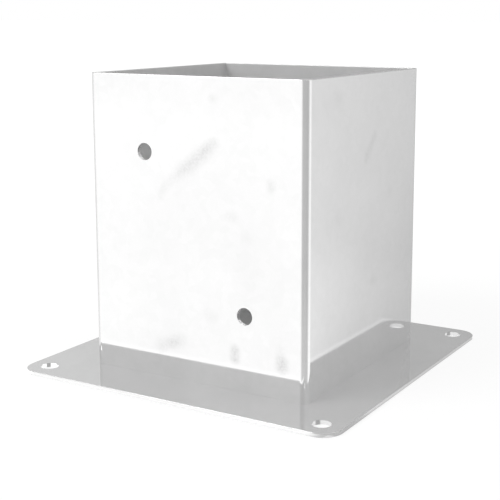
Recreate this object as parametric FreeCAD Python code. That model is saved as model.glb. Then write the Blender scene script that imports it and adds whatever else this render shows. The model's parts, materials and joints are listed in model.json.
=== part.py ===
import FreeCAD, Part
import math
import os

from FreeCAD import Vector

# Timber post base: a square sleeve for the foot of a post, folded from sheet steel and welded to a flat
# square plate that is bolted to concrete. Lengths are in millimetres. The origin is at the centre of
# the plate's underside, +Z is up, and -Y is the front, a wall with two screw holes.

# Driving dimensions.
POST_WIDTH = 120.0              # square timber post that the sleeve takes
SLEEVE_SHEET = 2.0              # thickness of the sleeve's sheet
SLEEVE_HEIGHT = 150.0           # from the plate to the rim
FOLD_INNER_RADIUS = 1.5         # inside of each folded corner

PLATE_SHEET = 2.0               # thickness of the base plate
PLATE_FLANGE = 28.0             # how far the plate stands out past each wall of the sleeve
PLATE_CORNER_RADIUS = 10.0
BOLT_HOLE_DIAMETER = 9.0
BOLT_HOLE_INSET = 11.0          # from the plate's sides to the middle of each corner's bolt hole

SCREW_HOLE_DIAMETER = 8.5       # screws through the sleeve into the post
SCREW_HOLE_INSET = 33.5         # from the nearer side of the sleeve to the middle of a screw hole
SCREW_HOLE_END = 37.5           # from the plate or the rim to the middle of the nearer screw hole

EDGE_BREAK = 0.25               # rounding of the sheets' cut edges

SEAM_ROOT_GAP = 0.4             # between the strip's ends and the inner corner that they leave open
FILLET_LEG = 3.0                # size of the short welds inside the sleeve's foot
FILLET_SAG = 1.5                # how far the bead's centre lies behind both of its legs
FILLET_LENGTH = 20.0
FILLET_INSET = 28.0             # from the post's nearer side to the middle of a short weld

# Derived sizes.
INNER_HALF = POST_WIDTH / 2
OUTER_HALF = INNER_HALF + SLEEVE_SHEET
FOLD_OUTER_RADIUS = FOLD_INNER_RADIUS + SLEEVE_SHEET
RIM_Z = PLATE_SHEET + SLEEVE_HEIGHT
PLATE_HALF = OUTER_HALF + PLATE_FLANGE
BOLT_HOLE_HALF_PITCH = PLATE_HALF - BOLT_HOLE_INSET
BEAD_RADIUS = math.hypot(FILLET_LEG + FILLET_SAG, FILLET_SAG)
BEAD_END_REACH = math.sqrt(FILLET_LEG * (FILLET_LEG + 2 * FILLET_SAG))  # of its round end, in the corner

UP = Vector(0, 0, 1)
QUARTER_TURN = 90.0
TOLERANCE = 1e-6
MID_ARC = math.sqrt(0.5)        # sine and cosine of 45 degrees, for the middle of a quarter arc


def point(x, y, z=0.0):
    return Vector(x, y, z)


def quarter_arc(start, centre, end):
    """A quarter circle from start to end about centre."""
    middle = centre + (start - centre) * MID_ARC + (end - centre) * MID_ARC
    return Part.Arc(start, middle, end).toShape()


def line(start, end):
    return Part.LineSegment(start, end).toShape()


def prism(edges, height):
    """A solid that stands on a closed outline."""
    return Part.Face(Part.Wire(edges)).extrude(UP * height)


def break_level_edges(solid, heights):
    """Round off the edges that lie flat at any of the given heights."""
    chosen = []
    for edge in solid.Edges:
        box = edge.BoundBox
        if box.ZLength < TOLERANCE and any(abs(box.ZMin - height) < TOLERANCE for height in heights):
            chosen.append(edge)
    return solid.makeFillet(EDGE_BREAK, chosen)


def base_plate():
    """The flat plate with rounded corners and a bolt hole at each of them."""
    width = 2 * PLATE_HALF
    plate = Part.makeBox(width, width, PLATE_SHEET, point(-PLATE_HALF, -PLATE_HALF))
    upright_edges = [edge for edge in plate.Edges if edge.BoundBox.ZLength > PLATE_SHEET / 2]
    plate = plate.makeFillet(PLATE_CORNER_RADIUS, upright_edges)
    plate = break_level_edges(plate, (0.0, PLATE_SHEET))
    for x_side in (-1, 1):
        for y_side in (-1, 1):
            centre = point(x_side * BOLT_HOLE_HALF_PITCH, y_side * BOLT_HOLE_HALF_PITCH)
            plate = plate.cut(Part.makeCylinder(BOLT_HOLE_DIAMETER / 2, PLATE_SHEET, centre))
    return plate


def strip_path(half, radius, left_end, back_end):
    """One face of the folded strip seen from above, from the left wall's end round to the back wall's.

    half is the distance of the walls' face from the centre, and radius is the face's radius at the
    folds. The strip's ends are at y = left_end on the left wall and x = back_end on the back wall.
    """
    bend = half - radius
    return [
        line(point(-half, left_end), point(-half, -bend)),
        quarter_arc(point(-half, -bend), point(-bend, -bend), point(-bend, -half)),
        line(point(-bend, -half), point(bend, -half)),
        quarter_arc(point(bend, -half), point(bend, -bend), point(half, -bend)),
        line(point(half, -bend), point(half, bend)),
        quarter_arc(point(half, bend), point(bend, bend), point(bend, half)),
        line(point(bend, half), point(back_end, half)),
    ]


def screw_holes(wall_side):
    """Cutters for the two screw holes of the front wall (-1) or the back wall (1).

    Seen from outside, each wall has one hole high on the left and one low on the right.
    """
    across = wall_side * (OUTER_HALF - SCREW_HOLE_INSET)
    high = RIM_Z - SCREW_HOLE_END
    low = PLATE_SHEET + SCREW_HOLE_END
    cutters = []
    for x, z in ((across, high), (-across, low)):
        start = point(x, wall_side * INNER_HALF, z)
        outward = point(0, wall_side, 0)
        cutters.append(Part.makeCylinder(SCREW_HOLE_DIAMETER / 2, SLEEVE_SHEET, start, outward))
    return cutters


def sleeve():
    """The strip folded at three corners. Its ends leave the back left corner open for the seam weld."""
    left_end = INNER_HALF - SEAM_ROOT_GAP
    back_end = -left_end
    outside = strip_path(OUTER_HALF, FOLD_OUTER_RADIUS, left_end, back_end)
    inside = strip_path(INNER_HALF, FOLD_INNER_RADIUS, left_end, back_end)
    left_cut = line(point(-INNER_HALF, left_end), point(-OUTER_HALF, left_end))
    back_cut = line(point(back_end, OUTER_HALF), point(back_end, INNER_HALF))
    walls = prism(outside + [back_cut] + inside[::-1] + [left_cut], SLEEVE_HEIGHT)
    walls.translate(UP * PLATE_SHEET)
    walls = break_level_edges(walls, (RIM_Z,))
    for wall_side in (-1, 1):
        walls = walls.cut(screw_holes(wall_side))
    return walls


def corner_seam_weld():
    """The bead that fills the open corner between the strip's two ends, over the sleeve's height."""
    root = INNER_HALF - SEAM_ROOT_GAP
    left_outside = point(-OUTER_HALF, root)
    back_outside = point(-root, OUTER_HALF)
    outline = [
        line(left_outside, point(-INNER_HALF, root)),
        line(point(-INNER_HALF, root), point(-root, INNER_HALF)),
        line(point(-root, INNER_HALF), back_outside),
        quarter_arc(back_outside, point(-root, root), left_outside),
    ]
    bead = prism(outline, SLEEVE_HEIGHT)
    bead.translate(UP * PLATE_SHEET)
    return bead


def fillet_weld(turn_degrees, along):
    """One short bead in the corner between the plate and the inside of a wall.

    The bead is made for the front wall and turned about the sleeve's axis to its own wall. It is the
    part of a round-ended bar that lies above the plate and inside the wall, with the bar's centre
    line a little behind both, so that the bead's face is a shallow curve.
    """
    axis_y = -INNER_HALF - FILLET_SAG
    axis_z = PLATE_SHEET - FILLET_SAG
    half_bar = FILLET_LENGTH / 2 - BEAD_END_REACH
    start = point(along - half_bar, axis_y, axis_z)
    end = point(along + half_bar, axis_y, axis_z)
    bar = Part.makeCylinder(BEAD_RADIUS, 2 * half_bar, start, point(1, 0, 0))
    bar = bar.fuse([Part.makeSphere(BEAD_RADIUS, start), Part.makeSphere(BEAD_RADIUS, end)])
    reach = 2 * BEAD_RADIUS
    corner = point(along - FILLET_LENGTH / 2, -INNER_HALF, PLATE_SHEET)
    inside_corner = Part.makeBox(FILLET_LENGTH, reach, reach, corner)
    bead = bar.common(inside_corner).removeSplitter()
    bead.rotate(point(0, 0), UP, turn_degrees)
    return bead


def fillet_welds():
    """Two beads to a wall, each named by its wall and by the wall that it is nearer to."""
    walls = ("front", "right", "back", "left")
    beads = {}
    for index, wall in enumerate(walls):
        before = walls[index - 1]
        after = walls[(index + 1) % len(walls)]
        for side, neighbour in ((-1, before), (1, after)):
            along = side * (INNER_HALF - FILLET_INSET)
            beads[f"fillet_weld_{wall}_{neighbour}"] = fillet_weld(QUARTER_TURN * index, along)
    return beads


def main():
    nodes = {
        "base_plate": base_plate(),
        "sleeve": sleeve(),
        "corner_seam_weld": corner_seam_weld(),
    }
    nodes.update(fillet_welds())
    os.makedirs("parts", exist_ok=True)
    for name, shape in nodes.items():
        shape.exportStep(f"parts/{name}.step")
        print(f"{name}: volume {shape.Volume:.1f}, valid {shape.isValid()}, solids {len(shape.Solids)}")


main()
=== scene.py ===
import json
import math

import bmesh
import bpy
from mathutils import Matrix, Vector


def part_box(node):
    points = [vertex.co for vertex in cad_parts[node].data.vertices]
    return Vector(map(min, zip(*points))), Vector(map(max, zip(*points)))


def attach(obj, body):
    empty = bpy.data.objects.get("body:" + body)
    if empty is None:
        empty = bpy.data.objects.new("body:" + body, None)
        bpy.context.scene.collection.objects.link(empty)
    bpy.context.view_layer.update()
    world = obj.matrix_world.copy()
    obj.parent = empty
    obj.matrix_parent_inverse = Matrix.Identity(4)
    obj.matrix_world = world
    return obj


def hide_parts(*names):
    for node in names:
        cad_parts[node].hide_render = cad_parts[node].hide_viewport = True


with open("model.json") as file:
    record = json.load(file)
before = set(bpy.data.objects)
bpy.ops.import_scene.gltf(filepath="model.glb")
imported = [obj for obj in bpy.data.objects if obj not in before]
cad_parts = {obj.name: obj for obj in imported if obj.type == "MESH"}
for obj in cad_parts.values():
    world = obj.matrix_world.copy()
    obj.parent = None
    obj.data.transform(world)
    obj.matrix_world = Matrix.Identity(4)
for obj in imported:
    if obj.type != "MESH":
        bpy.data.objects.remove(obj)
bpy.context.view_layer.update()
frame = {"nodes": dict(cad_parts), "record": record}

# Looks of the timber post base: bright zinc-coated sheet steel on a white studio sweep.
# Lengths are in metres in the part's own frame: the origin is at the centre of the base plate's
# underside, +Z is up and -Y is the front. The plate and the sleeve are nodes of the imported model
# with a finish. The weld beads are built here, with their ripples, in the places of their nodes.

MM = 0.001
PLATE_HALF, _, PLATE_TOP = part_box("base_plate")[1]
OUTER_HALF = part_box("sleeve")[1][0]
SHEET = PLATE_TOP                   # both sheets are equally thick
BOLTS = next(m for m in frame["record"]["mounts"] if m["name"] == "base_bolts")["dims"]

# Camera.
FRAME_PIXELS = 500.0
SENSOR_WIDTH_MM = 36.0
FOCAL_PIXELS = 1086.5
CAMERA_PLACE = (0.2912, -0.4839, 0.1808)
CAMERA_AZIMUTH = 30.52          # degrees, from -Y towards +X
CAMERA_DOWN = 9.74              # degrees below level
CAMERA_SHIFT = (-0.04, -0.10)

# Zinc. The scales are in cells or waves to the metre.
METALLIC = 0.7                  # the rest is the thin white oxide on the zinc
SPANGLE_SCALE = 260.0
SPANGLE_WARP_SCALE = 120.0
SPANGLE_WARP = (4 * MM,) * 3
CLOUD_SCALE = 28.0
SPECK_SCALE = 700.0
WAVE_SCALE = 35.0
RAGGED_SCALE = 900.0            # of the marks' outlines

# What places on the pieces add to the zinc's tone and roughness: a duller finish on the plate's sheared
# sides and inside the sleeve, painted shade on the plate's arrises and in the bolt holes, and smudges and
# painted reflections on the sleeve's outer faces.
SIDE_TONE, SIDE_ROUGH = -0.08, 0.12         # the plate's sheared sides
ARRIS_PAINTED_SHADE, ARRIS_ROUGH = -0.25, 0.2        # the plate's rounded arrises: painted shade that dims their highlight
# Painted shade on one patch of each bolt hole's far wall, darker in the left holes.
SHADE_PATCH_WAY = (-0.77, 0.64, 0.0)              # from a bolt hole's middle to the painted shade on its far wall
PATCH_SHADE_LEFT, PATCH_SHADE_RIGHT = -0.72, -0.52
# Dark smudges on the sleeve's outer faces, some of them painted reflections.
MARK_AND_REFLECTION_TONE, MARK_ROUGH = -0.13, 0.10
INSIDE_ROUGH = 0.32                         # the inside of the sleeve


# ---------------------------------------------------------------- shader nodes

def new_material(name):
    material = bpy.data.materials.new(name)
    material.use_nodes = True
    material.node_tree.nodes.clear()
    return material


class Nodes:
    """Short names for adding and joining shader nodes in one node tree."""

    def __init__(self, tree):
        self.tree = tree

    def add(self, kind, **settings):
        node = self.tree.nodes.new(kind)
        for name, value in settings.items():
            setattr(node, name, value)
        return node

    def feed(self, source, target):
        """Join a socket to an input, or write a plain value on it."""
        if isinstance(source, bpy.types.NodeSocket):
            self.tree.links.new(source, target)
        else:
            target.default_value = source

    def math(self, operation, *inputs, clamp=False):
        node = self.add("ShaderNodeMath", operation=operation, use_clamp=clamp)
        for index, value in enumerate(inputs):
            self.feed(value, node.inputs[index])
        return node.outputs[0]

    def vector(self, operation, *inputs):
        node = self.add("ShaderNodeVectorMath", operation=operation)
        for index, value in enumerate(inputs):
            self.feed(value, node.inputs[index])
        return node.outputs["Value" if operation in ("DOT_PRODUCT", "LENGTH") else "Vector"]

    def scaled(self, value, factors):
        return self.vector("MULTIPLY", value, factors)

    def split(self, value):
        node = self.add("ShaderNodeSeparateXYZ")
        self.feed(value, node.inputs[0])
        return node.outputs["X"], node.outputs["Y"], node.outputs["Z"]

    def noise(self, place, scale, detail=2.0, roughness=0.5):
        node = self.add("ShaderNodeTexNoise")
        self.feed(place, node.inputs["Vector"])
        node.inputs["Scale"].default_value = scale
        node.inputs["Detail"].default_value = detail
        node.inputs["Roughness"].default_value = roughness
        return node.outputs["Fac"]

    def tinted_noise(self, place, scale):
        """A noise with three channels, to shift places with."""
        node = self.add("ShaderNodeTexNoise")
        self.feed(place, node.inputs["Vector"])
        node.inputs["Scale"].default_value = scale
        return node.outputs["Color"]

    def cells(self, place, scale):
        """A steady random value in each cell of a Voronoi pattern."""
        node = self.add("ShaderNodeTexVoronoi")
        self.feed(place, node.inputs["Vector"])
        node.inputs["Scale"].default_value = scale
        return self.split(node.outputs["Color"])[0]

    def remap(self, value, low, high, new_low, new_high, kind="LINEAR"):
        node = self.add("ShaderNodeMapRange", interpolation_type=kind)
        self.feed(value, node.inputs["Value"])
        node.inputs["From Min"].default_value = low
        node.inputs["From Max"].default_value = high
        node.inputs["To Min"].default_value = new_low
        node.inputs["To Max"].default_value = new_high
        return node.outputs["Result"]

    def smooth(self, value, low, high, new_low, new_high):
        return self.remap(value, low, high, new_low, new_high, "SMOOTHSTEP")

    def band(self, value, rise, fall, height=1.0, kind="SMOOTHSTEP"):
        """From 0 to the height over the range rise, and back to 0 over the range fall."""
        return self.math("MULTIPLY", self.remap(value, *rise, 0.0, height, kind),
                         self.smooth(value, *fall, 1.0, 0.0))

    def total(self, values):
        result = values[0]
        for value in values[1:]:
            result = self.math("ADD", result, value)
        return result

    def grey(self, value, tint):
        """A colour: the tint times a grey value."""
        node = self.add("ShaderNodeMix", data_type="RGBA", blend_type="MULTIPLY")
        node.inputs["Factor"].default_value = 1.0
        node.inputs["A"].default_value = (*tint, 1.0)
        self.feed(value, node.inputs["B"])
        return node.outputs["Result"]


# ---------------------------------------------------------------- marks and painted reflections on the walls

def line_smudge(n, flat_place, start, end, width, strength):
    """A soft smudge along a line on a wall. It is gone at 0.7 of the width away from the line."""
    start, end = Vector(start) * MM, Vector(end) * MM
    along = end - start
    from_start = n.vector("SUBTRACT", flat_place, tuple(start))
    share = n.vector("DOT_PRODUCT", from_start, tuple(along / along.length_squared))
    share = n.math("MULTIPLY", share, 1.0, clamp=True)
    foot = n.add("ShaderNodeVectorMath", operation="SCALE")
    foot.inputs[0].default_value = tuple(along)
    n.feed(share, foot.inputs["Scale"])
    away = n.vector("LENGTH", n.vector("SUBTRACT", from_start, foot.outputs["Vector"]))
    if isinstance(strength, tuple):
        strength = n.remap(share, 0.0, 1.0, *strength)
    return n.math("MULTIPLY", n.smooth(away, 0.0, 0.7 * width * MM, 1.0, 0.0), strength)


# Each mark: start and end on the wall (x, z or y, z), width in mm, strength or strengths of its ends.
FRONT_MARKS_AND_REFLECTIONS = [
    ((-16, 99), (12, 121), 7.0, (0.5, 1.0)),
    ((-4, 107), (7, 117), 11.0, 0.45),
    ((-19, 93), (-18, 96), 5.0, 0.5),
    # These five, low on the wall just above the mirrored plate, are painted reflections of dark patches on
    # the floor beside the plate.
    ((-20, 18), (-9, 22), 9.0, 0.7),
    ((-14, 20), (-12, 21), 6.0, 0.6),
    ((23, 18), (23, 22), 6.0, 1.6),
    ((49, 18), (49, 20), 7.5, 1.7),
    ((48, 24), (48, 26), 7.0, 0.5),
    ((11, 142), (12, 142), 5.0, 0.6),
    ((43, 102), (43, 104), 5.5, 0.9),
    ((21, 87), (22, 87), 7.0, 0.5),
    ((30, 77), (31, 77), 8.0, 0.25),
    ((8, 38), (11, 37), 7.0, 0.4),
]
RIGHT_MARKS = [
    ((8, 121), (-2, 110), 6.0, 0.6),
    ((26, 91), (28, 90), 7.0, 0.35),
    ((-32, 86), (-30, 85), 7.0, 0.3),
    ((-33, 142), (-31, 142), 7.0, 0.4),
    ((8, 47), (11, 46), 7.0, 0.4),
]


def wall_marks_and_reflections(n, place):
    """Dark smudges on the outer faces of the front wall and the right wall. The low ones on the front wall
    are painted reflections of dark patches on the floor beside the plate.
    """
    x, y, _ = n.split(place)
    ragged = n.remap(n.noise(place, RAGGED_SCALE, 4.0, 0.6), 0.35, 0.65, 0.45, 1.2)
    front = n.scaled(place, (1, 0, 1))
    right = n.scaled(place, (0, 1, 1))
    on_front = n.math("LESS_THAN", y, -OUTER_HALF + 0.5 * MM)
    on_right = n.math("GREATER_THAN", x, OUTER_HALF - 0.5 * MM)
    front_sum = n.total([line_smudge(n, front, (a[0], 0, a[1]), (b[0], 0, b[1]), width, strength)
                         for a, b, width, strength in FRONT_MARKS_AND_REFLECTIONS])
    right_sum = n.total([line_smudge(n, right, (0, *a), (0, *b), width, strength)
                         for a, b, width, strength in RIGHT_MARKS])
    front_part = n.math("MULTIPLY", front_sum, on_front)
    right_part = n.math("MULTIPLY", right_sum, on_right)
    return n.math("MULTIPLY", n.math("ADD", front_part, right_part), ragged)


# ---------------------------------------------------------------- materials

def plate_edges(n, place, normal):
    """Tone and roughness of the plate's sheared sides and of their rounded arrises, with painted shade on
    the arrises and on the holes' walls.
    """
    hole = (BOLTS["spacing_x_mm"] / 2 * MM, BOLTS["spacing_y_mm"] / 2 * MM, 0.0)
    nearest_hole = n.vector("MULTIPLY", n.vector("SIGN", place), hole)
    around = n.vector("SUBTRACT", n.scaled(place, (1, 1, 0)), nearest_hole)
    in_hole = n.math("LESS_THAN", n.vector("LENGTH", around), (BOLTS["hole_r_mm"] + 0.2) * MM)
    out = n.math("SUBTRACT", 1.0, in_hole)
    upright = n.math("ABSOLUTE", n.split(normal)[2])
    side = n.math("MULTIPLY", n.remap(upright, 0.3, 0.7, 1.0, 0.0), out)
    # Painted shade on the rounded arrises, which dims their highlight.
    arris = n.math("MULTIPLY", n.remap(upright, 0.05, 0.3, 0.0, 1.0),
                   n.remap(upright, 0.85, 0.99, 1.0, 0.0))
    arris = n.math("MULTIPLY", arris, out)
    # Painted shade: each hole's wall has one dark patch on its far side, and the left ones are darker.
    shade_patch = n.vector("DOT_PRODUCT", n.vector("NORMALIZE", around), SHADE_PATCH_WAY)
    shade_patch = n.math("MULTIPLY", n.remap(shade_patch, 0.955, 0.985, 0.0, 1.0), in_hole)
    patch_shade = n.remap(n.split(place)[0], -10.0 * MM, 10.0 * MM, PATCH_SHADE_LEFT, PATCH_SHADE_RIGHT)
    tone = n.total([n.math("MULTIPLY", side, SIDE_TONE), n.math("MULTIPLY", arris, ARRIS_PAINTED_SHADE),
                    n.math("MULTIPLY", shade_patch, patch_shade)])
    rough = n.math("ADD", n.math("MULTIPLY", side, SIDE_ROUGH), n.math("MULTIPLY", arris, ARRIS_ROUGH))
    return tone, rough


def sleeve_faces(n, place, normal):
    """Tone and roughness of the marks and painted reflections outside, and the duller finish inside."""
    marks_and_reflections = wall_marks_and_reflections(n, place)
    x, y, _ = n.split(n.vector("ABSOLUTE", place))
    out = n.math("MAXIMUM", x, y)
    inside = n.remap(out, OUTER_HALF - 1.9 * MM, OUTER_HALF - 1.5 * MM, INSIDE_ROUGH, 0.0)
    rough = n.math("ADD", n.math("MULTIPLY", marks_and_reflections, MARK_ROUGH), inside)
    return n.math("MULTIPLY", marks_and_reflections, MARK_AND_REFLECTION_TONE), rough


def zinc(name, tint, gloss, metallic=METALLIC, local=None):
    """Bright zinc on sheet steel: nearly a mirror, with spangle, cloudy oxide and fine grain.

    local(n, place, normal) gives what one piece adds to the tone and to the roughness in places.
    """
    material = new_material(name)
    n = Nodes(material.node_tree)
    place = n.add("ShaderNodeTexCoord").outputs["Object"]
    shader = n.add("ShaderNodeBsdfPrincipled")
    shader.inputs["Metallic"].default_value = metallic

    warp = n.scaled(n.tinted_noise(place, SPANGLE_WARP_SCALE), SPANGLE_WARP)
    spangle = n.cells(n.vector("ADD", place, warp), SPANGLE_SCALE)
    cloud = n.noise(place, CLOUD_SCALE, 4.0, 0.6)
    speck = n.noise(place, SPECK_SCALE, 2.0, 0.6)
    tones = [
        n.remap(spangle, 0.0, 1.0, -0.012, 0.012),
        n.remap(cloud, 0.3, 0.7, -0.02, 0.02),
        n.remap(speck, 0.3, 0.7, -0.006, 0.006),
        1.0,
    ]
    roughs = [
        n.remap(spangle, 0.0, 1.0, -0.008, 0.008),
        n.remap(cloud, 0.3, 0.7, -0.012, 0.012),
        gloss,
    ]
    if local:
        tone, rough = local(n, place, n.add("ShaderNodeNewGeometry").outputs["Normal"])
        tones.append(tone)
        roughs.append(rough)
    n.feed(n.grey(n.total(tones), tint), shader.inputs["Base Color"])
    n.feed(n.total(roughs), shader.inputs["Roughness"])

    wave = n.noise(place, WAVE_SCALE)
    bump = n.add("ShaderNodeBump")
    bump.inputs["Strength"].default_value = 0.06
    bump.inputs["Distance"].default_value = 0.0004
    n.feed(wave, bump.inputs["Height"])
    n.feed(bump.outputs["Normal"], shader.inputs["Normal"])
    n.feed(shader.outputs["BSDF"], n.add("ShaderNodeOutputMaterial").inputs["Surface"])
    return material


def slot_tint(slot):
    """The base colour that the record states for a material slot."""
    return next(m["base_color"] for m in frame["record"]["materials"] if m["slot"] == slot)[:3]


def dress(node, material):
    piece = frame["nodes"][node]
    piece.data.materials.clear()
    piece.data.materials.append(material)


# ---------------------------------------------------------------- weld beads

RIPPLE_PITCH = 1.8 * MM
RIPPLE_DEPTH = 0.34 * MM
RIPPLE_BOW = 0.9 * MM           # how far a ripple's middle lies ahead of its toes
STATION = 0.25 * MM             # between the rows of points along a bead
ARC_STEPS = 12                  # across a bead's face
BEAD_SINK = 0.05 * MM           # of a short bead into the sheets, so that no gap shows
TAPER = 3.0 * MM                # of a short bead's ends
SEAM_CROWN = 0.07               # how much the seam bead's middle stands out, as a share of its radius
SEAM_SINK = 0.02 * MM
SEAM_TAPER = 1.5 * MM
SEAM_END = 0.94                 # size of the seam bead at its ends


def bead_mesh(name, length, face_point, end_shape, root=()):
    """A bead swept along +X from 0 to length, with the crescent ripples that a welder's steps leave.

    face_point(share, scale, lift) gives (y, z) of the bead's face, from one toe (share 0) to the other
    (share 1). end_shape(x) is the bead's size along its length, from 0 to 1. root lists the (y, z) of
    the corners behind the face, from the second toe back to the first.
    """
    mesh = bmesh.new()
    rows = []
    count = round(length / STATION)
    for index in range(count + 1):
        x = length * index / count
        row = []
        for step in range(ARC_STEPS + 1):
            share = step / ARC_STEPS
            crescent = x + RIPPLE_BOW * (2 * share - 1) ** 2
            phase = (crescent / RIPPLE_PITCH) % 1.0
            wobble = 0.25 * math.sin(crescent * 1900.0) + 0.2 * math.sin(crescent * 4700.0 + 1.0)
            across = 0.4 + 0.6 * math.sin(math.pi * share)
            lift = RIPPLE_DEPTH * ((1 - phase) ** 1.5 - 0.35) * (0.8 + wobble) * across
            y, z = face_point(share, end_shape(x), lift)
            row.append(mesh.verts.new((x, y, z)))
        row += [mesh.verts.new((x, y, z)) for y, z in root]
        rows.append(row)
    for first, second in zip(rows, rows[1:]):
        for step in range(len(first)):
            after = (step + 1) % len(first)
            mesh.faces.new((first[step], second[step], second[after], first[after]))
    mesh.faces.new(rows[0][::-1])
    mesh.faces.new(rows[-1])
    bmesh.ops.recalc_face_normals(mesh, faces=mesh.faces)
    data = bpy.data.meshes.new(name)
    mesh.to_mesh(data)
    mesh.free()
    for face in data.polygons:
        face.use_smooth = True
    data.set_sharp_from_angle(angle=math.radians(40))
    return data


def place_bead(name, data, material, along, up, origin, node):
    """Stand a bead's mesh in the part's frame, and show it instead of its CAD node."""
    along, up = Vector(along), Vector(up)
    side = up.cross(along)
    for vertex in data.vertices:
        x, y, z = vertex.co
        vertex.co = Vector(origin) + along * x + side * y + up * z
    data.materials.append(material)
    bead = bpy.data.objects.new(name, data)
    bpy.context.scene.collection.objects.link(bead)
    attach(bead, "root")
    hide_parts(node)


def fillet_bead(wall, neighbour, material):
    """A short bead between the plate and the inside of a wall, built where its CAD solid lies."""
    node = f"fillet_weld_{wall}_{neighbour}"
    low, high = (Vector(corner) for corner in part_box(node))
    inward = {"front": Vector((0, 1, 0)), "right": Vector((-1, 0, 0)),
              "back": Vector((0, -1, 0)), "left": Vector((1, 0, 0))}[wall]
    up = Vector((0, 0, 1))
    along = inward.cross(up)
    size = high - low
    length = max(size.x, size.y)
    leg = min(size.x, size.y)
    middle = (low + high) / 2
    # The corner line's start: on the wall's inner face, at the plate's top, half a length back.
    root = middle - inward * (leg / 2) - along * (length / 2)
    root.z = PLATE_TOP
    sag = 2 * leg                       # how far the face's centre lies behind both legs
    radius = math.hypot(leg + sag, sag)
    first = math.atan2(sag, leg + sag)

    def end_shape(x):
        into_taper = max(0.0, 1 - min(x, length - x) / TAPER)
        return 0.2 + 0.8 * math.sqrt(max(0.0, 1 - into_taper ** 2))

    def face_point(share, scale, lift):
        angle = first + (math.pi / 2 - 2 * first) * share
        y = (radius * math.cos(angle) - sag) * scale + lift * math.cos(angle) - BEAD_SINK
        z = (radius * math.sin(angle) - sag) * scale + lift * math.sin(angle) - BEAD_SINK
        return y, z

    name = f"weld_bead_{wall}_{neighbour}"
    data = bead_mesh(name, length, face_point, end_shape, [(-BEAD_SINK, -BEAD_SINK)])
    place_bead(name, data, material, along, up, root, node)


def seam_bead(material):
    """The upright bead that fills the open back left corner, from the plate to the rim."""
    node = "corner_seam_weld"
    low, high = (Vector(corner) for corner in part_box(node))
    radius = high.y - low.y
    centre = Vector((high.x, low.y, high.z))
    length = high.z - low.z
    gap = high.x + (OUTER_HALF - SHEET)     # from the open corner's point to each strip end

    def end_shape(x):
        return 1.0 - (1.0 - SEAM_END) * max(0.0, 1 - min(x, length - x) / SEAM_TAPER)

    def face_point(share, scale, lift):
        angle = math.pi / 2 * share
        crown = 1.0 + SEAM_CROWN * math.sin(math.pi * share)
        reach = radius * scale * crown + lift - SEAM_SINK
        return reach * math.cos(angle), reach * math.sin(angle)

    root = [(0.0, gap), (gap, 0.0)]
    data = bead_mesh("weld_bead_corner_seam", length, face_point, end_shape, root)
    place_bead(data.name, data, material, (0, 0, -1), (0, 1, 0), centre, node)


# ---------------------------------------------------------------- studio

# The zinc is nearly a mirror, so what it shows is the brightness of the floor and of the world, which
# these numbers give. Turns are in degrees, from -Y towards +X, and "past" is past the plate's sides.
# Bands are a rise, a fall and a height.

FLOOR_HALF = 20.0
FLOOR_SEEN_NEAR, FLOOR_SEEN_FAR = 0.81, 0.90    # glow for the camera, that the lit floor adds to
FLOOR_BASE = 0.34                               # glow for the metal, and what is added to it:
FLOOR_LEFT = 0.58
FLOOR_RIGHT = ((80.0, 114.0), (130.0, 178.0), 0.67)
FLOOR_GLINT = ((98.0, 122.0), (124.0, 143.0), 0.1)
FLOOR_CORNER = ((-22.0, 4.0), (22.0, 42.0), 0.85)
FLOOR_NEAR = 0.12
FLOOR_BENEATH = 0.45

WORLD_LEFT, WORLD_RIGHT = 0.455, 0.51
WORLD_BANDS = [
    ((-156.0, -136.0), (-125.0, -105.0), 0.18),
    ((-115.0, -100.0), (-60.0, -44.0), -0.08),
    ((-41.0, -31.0), (-24.0, -14.0), 0.05),
    ((-24.0, -10.0), (28.0, 60.0), -0.19),
    ((151.0, 158.5), (164.0, 174.0), -0.085, "LINEAR"),
]


def azimuth(n, away):
    """The turn of a vector, in degrees from -Y towards +X."""
    x, y, _ = n.split(away)
    return n.math("DEGREES", n.math("ARCTAN2", x, n.math("MULTIPLY", y, -1.0)))


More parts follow.
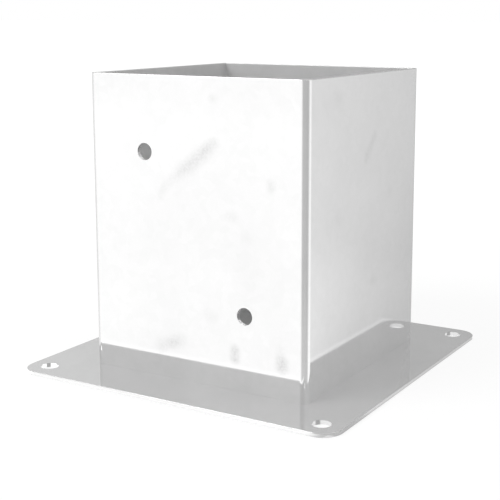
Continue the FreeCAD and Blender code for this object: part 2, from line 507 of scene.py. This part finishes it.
def floor_for_metal(n, place):
    """How bright the metal sees the floor: pale on the left, behind right and by the plate's sides."""
    x, y, _ = n.split(n.vector("ABSOLUTE", place))
    past = n.math("SUBTRACT", n.math("MAXIMUM", x, y), PLATE_HALF)
    away = n.vector("LENGTH", place)
    # Turns about the sleeve's near fold and about its left fold.
    turn = azimuth(n, n.vector("SUBTRACT", place, (OUTER_HALF, -OUTER_HALF, 0.0)))
    turn_left = azimuth(n, n.vector("SUBTRACT", place, (-OUTER_HALF, -OUTER_HALF, 0.0)))

    left = n.math("MULTIPLY", n.smooth(turn_left, -78.0, -50.0, 0.45, 1.0),
                  n.smooth(turn, -22.0, 4.0, 1.0, 0.0))
    left = n.math("MULTIPLY", left, n.smooth(turn, -175.0, -140.0, 0.0, 1.0))
    left = n.math("MULTIPLY", left, n.smooth(away, 0.4, 2.5, 1.23, 1.33))
    right = n.math("MULTIPLY", n.band(turn, *FLOOR_RIGHT), n.remap(past, 1.0 * MM, 4.0 * MM, 0.2, 1.0))
    near = n.math("MULTIPLY", n.smooth(past, 4.0 * MM, 210.0 * MM, FLOOR_NEAR, 0.0),
                  n.math("SUBTRACT", 1.0, n.math("MULTIPLY", left, 0.6)))

    # By the plate's sides, which mirror only a narrow strip of the floor.
    edge_left = n.math("MULTIPLY", left, n.remap(past, 0.0, 12.0 * MM, 0.22, 0.0))
    edge_right = n.math("MULTIPLY", n.smooth(turn, 125.0, 150.0, 0.0, 0.14),
                        n.smooth(past, 4.0 * MM, 8.0 * MM, 1.0, 0.0))
    beneath = n.math("LESS_THAN", past, -0.5 * MM)
    corner = n.math("MULTIPLY", n.band(turn, *FLOOR_CORNER),
                    n.smooth(past, 6.0 * MM, 12.0 * MM, 1.0, 0.0))
    corner = n.math("MULTIPLY", corner, n.math("SUBTRACT", 1.0, beneath))
    return n.total([n.math("MULTIPLY", left, FLOOR_LEFT), right, near, edge_left, edge_right, corner,
                    n.band(turn, *FLOOR_GLINT), n.math("MULTIPLY", beneath, FLOOR_BENEATH), FLOOR_BASE])


def make_floor():
    """A wide floor, white with the object's soft shadow for the camera."""
    mesh = bpy.data.meshes.new("studio_floor")
    half = FLOOR_HALF
    mesh.from_pydata([(-half, -half, 0), (half, -half, 0), (half, half, 0), (-half, half, 0)], [],
                     [(0, 1, 2, 3)])
    floor = bpy.data.objects.new("studio_floor", mesh)
    bpy.context.scene.collection.objects.link(floor)
    material = new_material("studio_floor")
    n = Nodes(material.node_tree)
    rays = n.add("ShaderNodeLightPath")
    seen, mirrored = rays.outputs["Is Camera Ray"], rays.outputs["Is Glossy Ray"]
    place = n.add("ShaderNodeTexCoord").outputs["Object"]
    diffuse = n.add("ShaderNodeBsdfDiffuse")
    dimmed = n.math("ADD", n.math("MULTIPLY", seen, 0.75), n.math("MULTIPLY", mirrored, 0.80))
    n.feed(n.grey(n.math("SUBTRACT", 1.0, dimmed), (0.8, 0.8, 0.8)), diffuse.inputs["Color"])
    glow = n.add("ShaderNodeEmission")
    glow_seen = n.smooth(n.vector("LENGTH", place), 0.15, 0.6, FLOOR_SEEN_NEAR, FLOOR_SEEN_FAR)
    n.feed(n.math("ADD", n.math("MULTIPLY", seen, glow_seen),
                  n.math("MULTIPLY", mirrored, floor_for_metal(n, place))), glow.inputs["Strength"])
    both = n.add("ShaderNodeAddShader")
    n.feed(diffuse.outputs[0], both.inputs[0])
    n.feed(glow.outputs[0], both.inputs[1])
    n.feed(both.outputs[0], n.add("ShaderNodeOutputMaterial").inputs["Surface"])
    mesh.materials.append(material)


def make_world():
    """White for the camera. For the object: grey walls, paler and darker in places, and a pale ceiling."""
    world = bpy.data.worlds.new("studio")
    bpy.context.scene.world = world
    world.use_nodes = True
    world.node_tree.nodes.clear()
    n = Nodes(world.node_tree)
    seen = n.add("ShaderNodeLightPath").outputs["Is Camera Ray"]
    direction = n.add("ShaderNodeTexCoord").outputs["Generated"]
    x, y, z = n.split(direction)
    turn = azimuth(n, direction)
    # The walls reach up to z 0.40, and above them the light grows to the ceiling's.
    walls = n.total([n.smooth(x, -0.40, 0.4, WORLD_LEFT, WORLD_RIGHT)]
                    + [n.band(turn, *band) for band in WORLD_BANDS])
    ceiling = n.total([n.remap(x, -0.6, 0.6, 0.85, 1.12), n.remap(y, -0.6, 0.6, -0.06, 0.06),
                       n.smooth(z, 0.85, 0.97, 0.0, -0.10)])
    high = n.smooth(z, 0.40, 0.75, 0.0, 1.0)
    light = n.math("ADD", walls, n.math("MULTIPLY", high, n.math("SUBTRACT", ceiling, walls)))
    background = n.add("ShaderNodeBackground")
    background.inputs["Color"].default_value = (1, 1, 1, 1)
    n.feed(n.math("MAXIMUM", light, seen), background.inputs["Strength"])
    n.feed(background.outputs[0], n.add("ShaderNodeOutputWorld").inputs["Surface"])


def make_lamp(name, place, aim, size, watts):
    """A soft rectangular lamp that the camera doesn't see."""
    light = bpy.data.lights.new(name, "AREA")
    light.shape = "RECTANGLE"
    light.size, light.size_y = size
    light.energy = watts
    lamp = bpy.data.objects.new(name, light)
    lamp.location = place
    lamp.rotation_euler = (Vector(aim) - Vector(place)).to_track_quat("-Z", "Y").to_euler()
    lamp.visible_camera = False
    bpy.context.scene.collection.objects.link(lamp)


def make_camera():
    data = bpy.data.cameras.new("camera")
    data.sensor_width = SENSOR_WIDTH_MM
    data.lens = FOCAL_PIXELS / FRAME_PIXELS * SENSOR_WIDTH_MM
    data.shift_x, data.shift_y = CAMERA_SHIFT
    data.clip_start = 0.01
    camera = bpy.data.objects.new("camera", data)
    camera.location = CAMERA_PLACE
    camera.rotation_euler = (math.radians(90 - CAMERA_DOWN), 0, math.radians(CAMERA_AZIMUTH))
    bpy.context.scene.collection.objects.link(camera)
    bpy.context.scene.camera = camera


# ---------------------------------------------------------------- the scene

dress("sleeve", zinc("zinc_sleeve", slot_tint("sleeve_zinc"), 0.06, local=sleeve_faces))
dress("base_plate", zinc("zinc_plate", slot_tint("plate_zinc"), 0.05, local=plate_edges))
weld = zinc("zinc_weld", slot_tint("weld_zinc"), 0.34, metallic=0.5)
seam_bead(weld)
WALLS = ("front", "right", "back", "left")
for index, wall in enumerate(WALLS):
    fillet_bead(wall, WALLS[index - 1], weld)
    fillet_bead(wall, WALLS[(index + 1) % 4], weld)

make_floor()
make_world()
make_lamp("key", (-0.75, -1.05, 1.15), (0, 0, 0.08), (0.9, 0.9), 11.0)
make_camera()
bpy.context.scene.view_settings.view_transform = "Standard"
